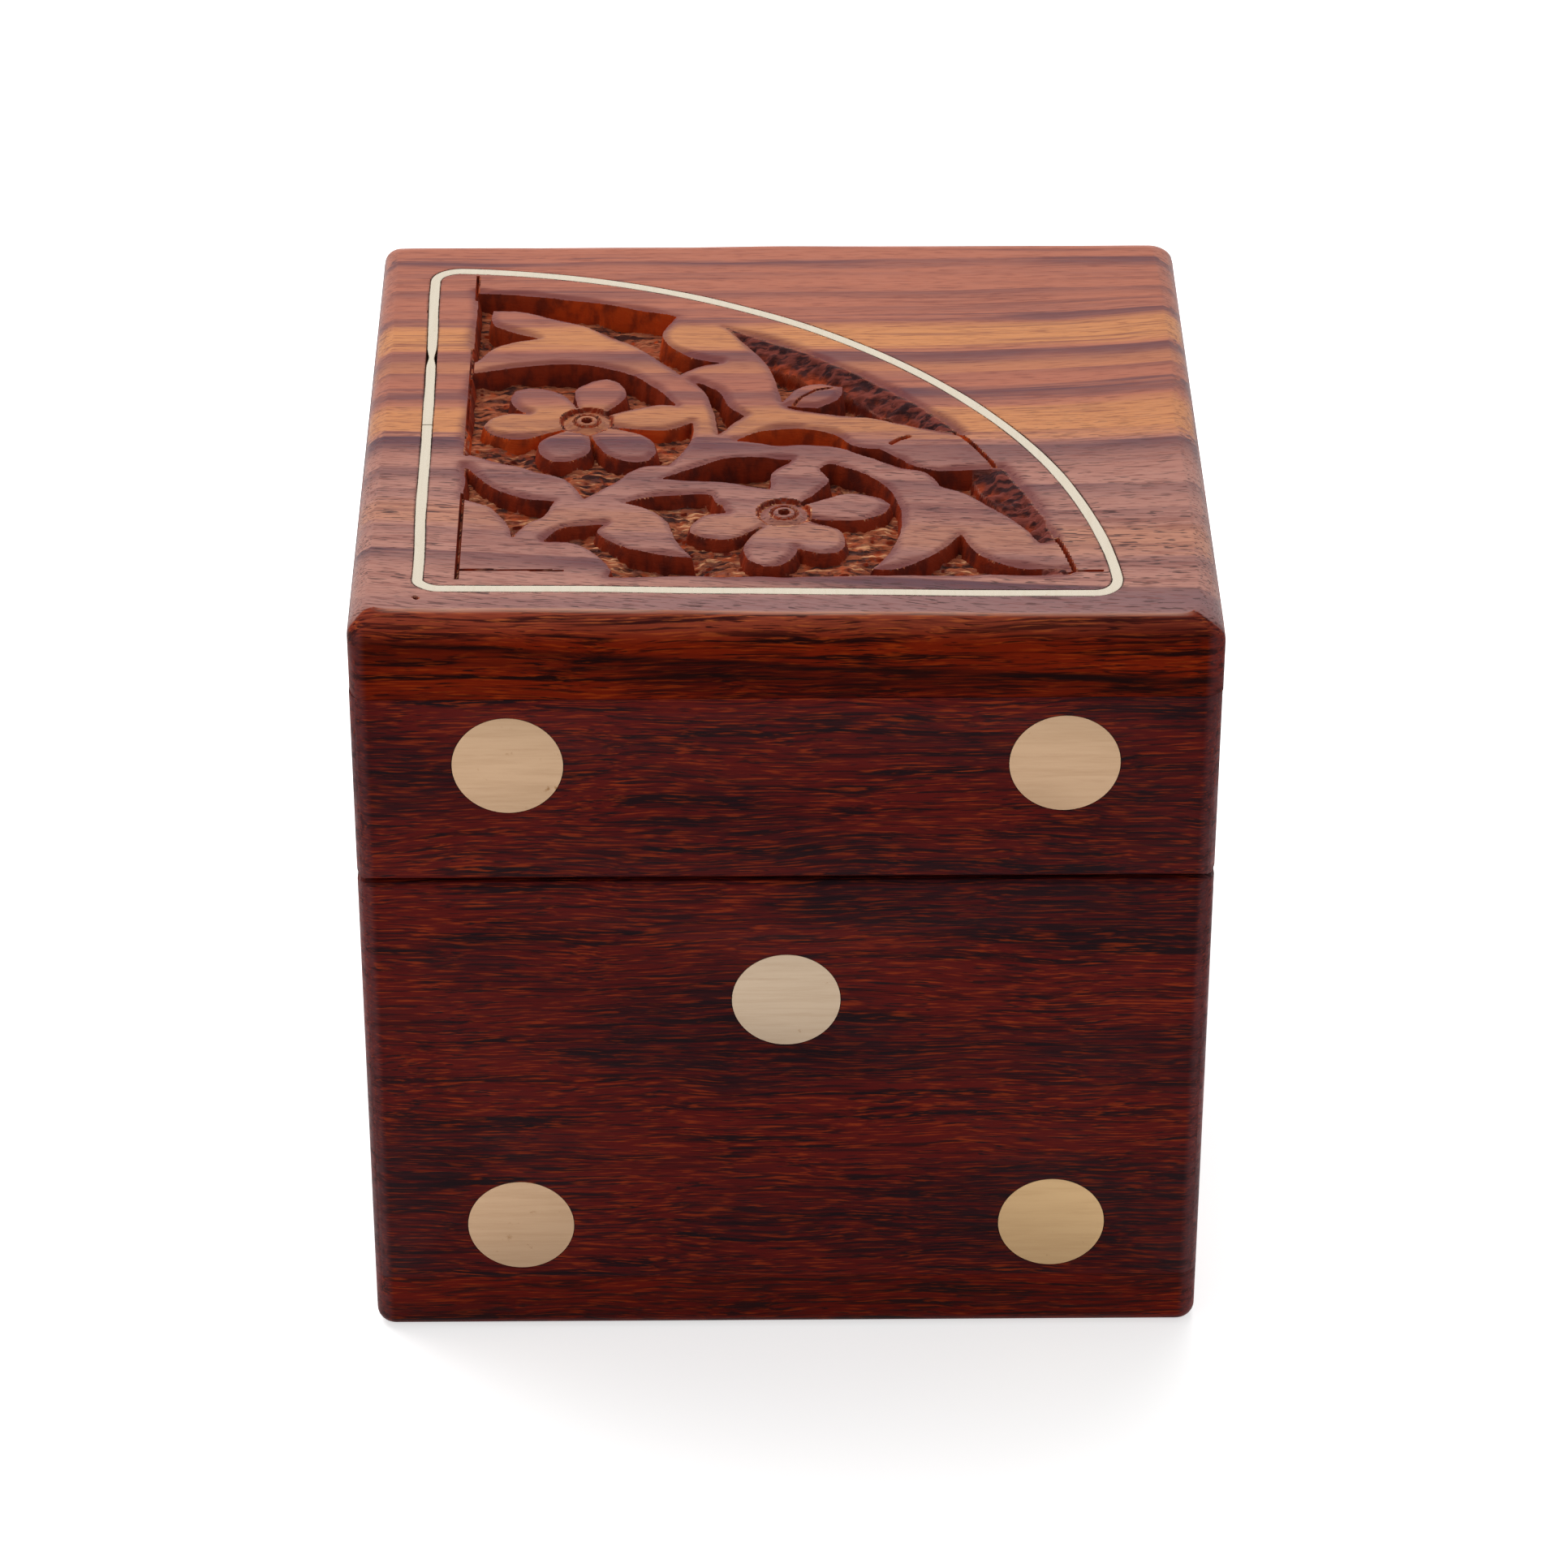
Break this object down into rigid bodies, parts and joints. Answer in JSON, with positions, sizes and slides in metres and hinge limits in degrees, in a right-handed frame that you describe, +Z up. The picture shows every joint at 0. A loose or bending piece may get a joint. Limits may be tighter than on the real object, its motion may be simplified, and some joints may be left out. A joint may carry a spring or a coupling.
{
  "type": "dice box",
  "caption": "Small wooden dice box with a hinged lid, flush brass pips like a die and a carved floral sector on its top inside a brass line.",
  "frame": {"origin": "centre of the box's underside, on the surface it stands on", "axes": "+X to the box's right seen from the front, +Y to its back where the hinge is, +Z up"},
  "size_m": [0.064, 0.0643, 0.064],
  "materials": {
    "wall_wood": "dark red-brown rosewood, wax polish",
    "top_wood": "red-brown striped rosewood, wax polish",
    "pip_brass": "sanded flush, matt",
    "strip_brass": "sanded flush, bright",
    "hinge_brass": "plain rolled brass",
    "screw_brass": "turned brass"
  },
  "bodies": {
    "base": {"bottom_board": "wall_wood", "base_front_wall": "wall_wood", "base_right_wall": "wall_wood", "base_back_wall": "wall_wood", "base_left_wall": "wall_wood", "hinge_base_leaf": "hinge_brass", "hinge_pin": "hinge_brass", "base_hinge_screws": "screw_brass", "base_pip_front_middle": "pip_brass", "base_pip_front_left": "pip_brass", "base_pip_front_right": "pip_brass", "base_pip_back": "pip_brass", "base_pip_left_middle": "pip_brass", "base_pip_left_low": "pip_brass", "base_pip_right_front": "pip_brass", "base_pip_right_back": "pip_brass"},
    "lid": {"lid_front_wall": "wall_wood", "lid_right_wall": "wall_wood", "lid_back_wall": "wall_wood", "lid_left_wall": "wall_wood", "top_board": "top_wood", "inlay_strip": "strip_brass", "hinge_lid_leaf": "hinge_brass", "lid_hinge_screws": "screw_brass", "lid_pip_front_left": "pip_brass", "lid_pip_front_right": "pip_brass", "lid_pip_back": "pip_brass", "lid_pip_left": "pip_brass", "lid_pip_right_front": "pip_brass", "lid_pip_right_back": "pip_brass"}
  },
  "joints": [
    {"name": "lid_hinge", "type": "hinge", "parent": "base", "child": "lid", "pos_m": [0, 0.03222, 0.0418], "axis": [-1, 0, 0], "range_deg": [0, 180]}
  ]
}
